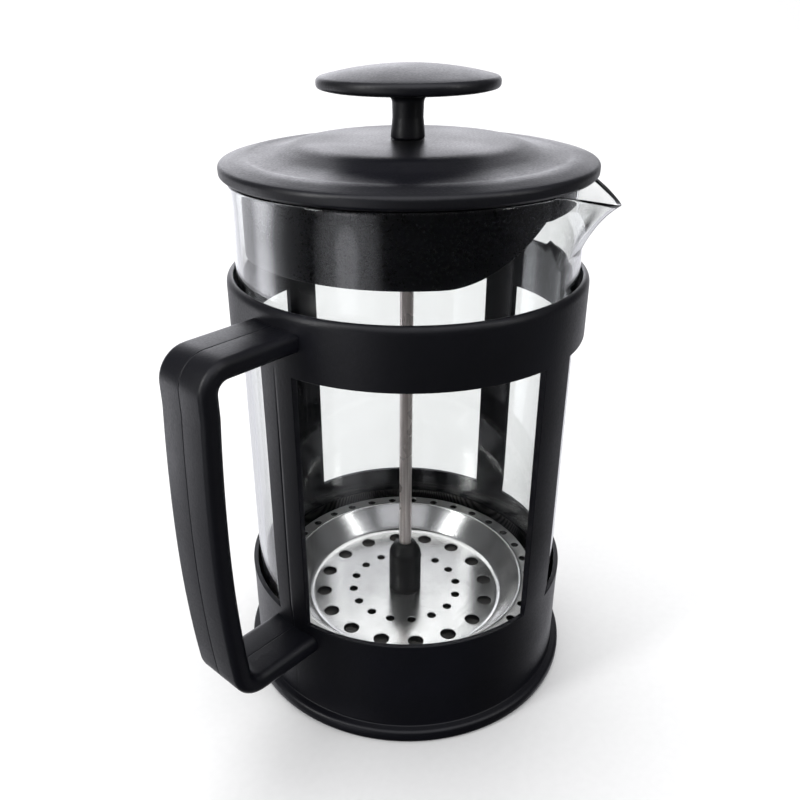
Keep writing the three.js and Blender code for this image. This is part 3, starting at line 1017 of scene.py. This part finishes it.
def make_cross_plate():
    """The backing plate under the cloth: a rim and six spokes between round-cornered gaps."""
    top = PLATE_Z - PLATE_SHEET - 1.0
    gap_sides = ((26, 23, 1), (10, 20, -1))  # radius, half angle, and which way it is followed
    steps, corner_radius = 8, 2.0
    work = bmesh.new()
    edges = circle_edges(work, (0, 0), 30, top, 180)
    edges += circle_edges(work, (0, 0), ROD_RADIUS + 0.4, top, 48)
    for middle in even_angles(6):
        corners = []
        for radius, half, way in gap_sides:
            for step in range(steps + 1):
                a = middle + math.radians(half * (2 * step / steps - 1) * way)
                turn = corner_radius if step in (0, steps) else 0.0
                corners.append((radius * math.cos(a), radius * math.sin(a), turn))
        outline = rounded(corners, steps=4)
        points = [work.verts.new((x, y, top)) for x, y in outline]
        edges += [work.edges.new((points[i - 1], points[i])) for i in range(len(points))]
    bmesh.ops.triangle_fill(work, use_beauty=True, edges=edges)
    work.verts.index_update()
    vertices = [tuple(v.co) for v in work.verts]
    faces = [[v.index for v in face.verts] for face in work.faces]
    work.free()
    obj = object_of("backing_plate", vertices, faces)
    close_seams(obj, sheet=True)
    thicken(obj, 0.9)
    return finish_piece(obj, POLISHED, "plunger", "polished_steel", "cross_plate")


def hexagon_points(size, z, flat_steps, bored):
    """A level ring of points: a hexagon, or a circle where the nut is bored."""
    points = []
    for a in even_angles(6, math.pi / 6):
        start = Vector((math.cos(a), math.sin(a)))
        end = Vector((math.cos(a + math.pi / 3), math.sin(a + math.pi / 3)))
        for step in range(flat_steps):
            spot = start.lerp(end, step / flat_steps)
            if bored:
                spot.normalize()
            points.append((spot.x * size, spot.y * size, z))
    return points


def make_nut():
    """A hexagon nut under the filter, with a blind bore in its top."""
    top = PLATE_Z - PLATE_SHEET - 2.3
    bottom = top - 4.6
    radius, bore, chamfer, flat_steps = 4.6, ROD_RADIUS + 0.3, 0.4, 6
    levels = [
        (radius - chamfer, bottom, False),
        (radius, bottom + chamfer, False),
        (radius, top - chamfer, False),
        (radius - chamfer, top, False),
        (bore, top, True),
        (bore, bottom + 1, True),
    ]
    vertices, faces = [], []
    for size, z, bored in levels:
        vertices.extend(hexagon_points(size, z, flat_steps, bored))
    count = 6 * flat_steps
    for row in range(len(levels) - 1):
        for i in range(count):
            j = (i + 1) % count
            a, b = row * count, (row + 1) * count
            faces.append([a + i, a + j, b + j, b + i])
    faces.append(list(range(count)))
    faces.append(list(range(len(vertices) - count, len(vertices))))
    obj = object_of("nut", vertices, faces)
    close_seams(obj)
    return finish_piece(obj, ROD_STEEL, "plunger", "brushed_steel", "plate_nut")


make_holder_frame()
make_handle()
make_beaker()
make_lid_cover()
make_lid_skirt()
make_guide_bush()
make_knob()
make_rod()
make_hub()
make_filter_plate()
make_mesh_screen()
make_edge_spring()
make_cross_plate()
make_nut()

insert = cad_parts["knob_insert"]
insert.data.materials.clear()
insert.data.materials.append(BRASS)


# ------------------------------------------------------------------ studio

CAMERA_PLACE = Vector((-173.14, -150.51, 200.06)) * MM
CAMERA_HEADING = math.radians(43.03)
CAMERA_PITCH = math.radians(-26.09)
CAMERA_ROLL = -0.0091


def studio_sweep():
    """A pale floor that curves up into a backdrop; it is left out of every reflection."""
    away = Vector((math.cos(CAMERA_HEADING), math.sin(CAMERA_HEADING), 0))
    side = Vector((-away.y, away.x, 0))
    near, bend, radius, height, half = -2500, 900, 700, 3200, 3200
    bend_steps = 24
    line = [(near, 0), (0, 0), (bend, 0)]
    for step in range(1, bend_steps + 1):
        a = math.pi / 2 * step / bend_steps
        line.append((bend + radius * math.sin(a), radius * (1 - math.cos(a))))
    line.append((bend + radius, height))
    vertices, faces = [], []
    for distance, z in line:
        for edge in (-half, half):
            vertices.append(away * distance + side * edge + Vector((0, 0, z)))
    for i in range(len(line) - 1):
        faces.append([2 * i, 2 * i + 1, 2 * i + 3, 2 * i + 2])
    sweep = object_of("studio_sweep", vertices, faces)
    sweep.data.shade_smooth()
    surface = Surface("studio_paper", Specular_IOR_Level=0.1)
    grain = surface.noise(400, detail=4)
    surface.drive("Base Color", surface.colours(grain, (0.86, 0.86, 0.86), (0.88, 0.88, 0.88)))
    surface.drive("Roughness", surface.between(grain, 0.85, 0.95))
    clear = surface.add("BsdfTransparent").outputs["BSDF"]
    bounced = surface.add("LightPath").outputs["Glossy Depth"]
    mix = surface.add("MixShader", {0: bounced, 1: surface.shader.outputs["BSDF"], 2: clear})
    surface.tree.links.new(mix.outputs[0], surface.tree.nodes["Material Output"].inputs["Surface"])
    sweep.data.materials.append(surface.material)


def softbox(name, place, target, size, power, mirrored=True):
    """A rectangular lamp in metres and watts, which reflections see only if mirrored."""
    light = bpy.data.lights.new(name, "AREA")
    light.shape = "RECTANGLE"
    light.size, light.size_y = size
    light.energy = power
    lamp = bpy.data.objects.new(name, light)
    lamp.location = place
    aim = Vector(target) - Vector(place)
    lamp.rotation_euler = aim.to_track_quat("-Z", "Y").to_euler()
    lamp.visible_glossy = mirrored
    bpy.context.scene.collection.objects.link(lamp)


def studio_world():
    """An even pale surround, which in reflections is dark but for a glow behind the press and
    smaller ones low on the left, in front and on the right, and above the camera."""
    world = bpy.data.worlds.new("studio")
    bpy.context.scene.world = world
    world.use_nodes = True
    nodes, links = world.node_tree.nodes, world.node_tree.links
    direction = nodes.new("ShaderNodeTexCoord").outputs["Generated"]

    def ramp(heading, rise, stops):
        """Brightness by how nearly a ray points along a heading and a rise, in degrees."""
        heading, rise = math.radians(heading), math.radians(rise)
        toward = nodes.new("ShaderNodeVectorMath")
        toward.operation = "DOT_PRODUCT"
        links.new(direction, toward.inputs[0])
        toward.inputs[1].default_value = (
            math.cos(rise) * math.cos(heading),
            math.cos(rise) * math.sin(heading),
            math.sin(rise),
        )
        colours = nodes.new("ShaderNodeValToRGB")
        links.new(toward.outputs["Value"], colours.inputs["Fac"])
        while len(colours.color_ramp.elements) < len(stops):
            colours.color_ramp.elements.new(0.5)
        for element, (position, level) in zip(colours.color_ramp.elements, stops):
            element.position = position
            element.color = (level * 0.98, level * 0.98, level * 1.04, 1)
        return colours.outputs["Color"]

    behind = ramp(46, 10, [(0.78, 0.0), (0.9, 0.8), (1.0, 2.5)])
    overhead = ramp(0, 90, [(0.0, 0.01), (0.3, 0.1), (0.6, 0.13)])
    above_camera = ramp(223, 64, [(0.6, 0.0), (0.9, 1.2)])
    low_left = ramp(117, -20, [(0.78, 0.0), (0.94, 0.14), (0.98, 0.6), (1.0, 3.4)])
    low_behind = ramp(48, -28, [(0.45, 0.0), (0.65, 0.65), (1.0, 0.9)])
    low_front = ramp(183, -15, [(0.92, 0.0), (0.965, 0.5), (0.989, 0.65), (0.996, 1.5)])
    low_right = ramp(-39, -24, [(0.8, 0.0), (0.95, 0.07)])
    total = behind
    for glow in (low_behind, overhead, above_camera, low_left, low_front, low_right):
        both = nodes.new("ShaderNodeVectorMath")
        links.new(total, both.inputs[0])
        links.new(glow, both.inputs[1])
        total = both.outputs[0]
    bounced = nodes.new("ShaderNodeMath")
    bounced.operation = "MINIMUM"
    bounced.inputs[1].default_value = 1
    links.new(nodes.new("ShaderNodeLightPath").outputs["Glossy Depth"], bounced.inputs[0])
    mix = nodes.new("ShaderNodeMix")
    mix.data_type = "RGBA"
    plain, reflected, result = mix.inputs[6], mix.inputs[7], mix.outputs[2]
    links.new(bounced.outputs[0], mix.inputs["Factor"])
    plain.default_value = (0.8, 0.8, 0.81, 1)
    links.new(total, reflected)
    links.new(result, nodes["Background"].inputs["Color"])


def studio_camera():
    """The camera at the photo's place, fitted to the press's round outlines."""
    data = bpy.data.cameras.new("camera")
    data.sensor_width = 36
    data.lens = 37.14
    data.shift_x = 0.0252
    data.shift_y = 0.0016
    data.clip_start = 0.01
    cos_pitch = math.cos(CAMERA_PITCH)
    ahead = Vector(
        (
            cos_pitch * math.cos(CAMERA_HEADING),
            cos_pitch * math.sin(CAMERA_HEADING),
            math.sin(CAMERA_PITCH),
        )
    )
    level = Vector((math.sin(CAMERA_HEADING), -math.cos(CAMERA_HEADING), 0))
    upright = level.cross(ahead)
    right = level * math.cos(CAMERA_ROLL) + upright * math.sin(CAMERA_ROLL)
    up = upright * math.cos(CAMERA_ROLL) - level * math.sin(CAMERA_ROLL)
    turn = Matrix((right, up, -ahead)).transposed().to_4x4()
    camera = bpy.data.objects.new("camera", data)
    camera.matrix_world = Matrix.Translation(CAMERA_PLACE) @ turn
    bpy.context.scene.collection.objects.link(camera)
    bpy.context.scene.camera = camera


studio_sweep()
studio_world()
studio_camera()
softbox("overhead", (0.35, 0.55, 1.3), (0.1, 0.1, 0), (1.6, 1.2), 13, mirrored=False)
softbox("left_strip", (-0.85, 0.25, 0.55), (0, 0, 0.1), (0.18, 0.9), 4)
softbox("right_strip", (0.25, -0.95, 0.6), (0, 0, 0.1), (0.12, 0.8), 1.5)
bpy.context.scene.view_settings.view_transform = "Standard"
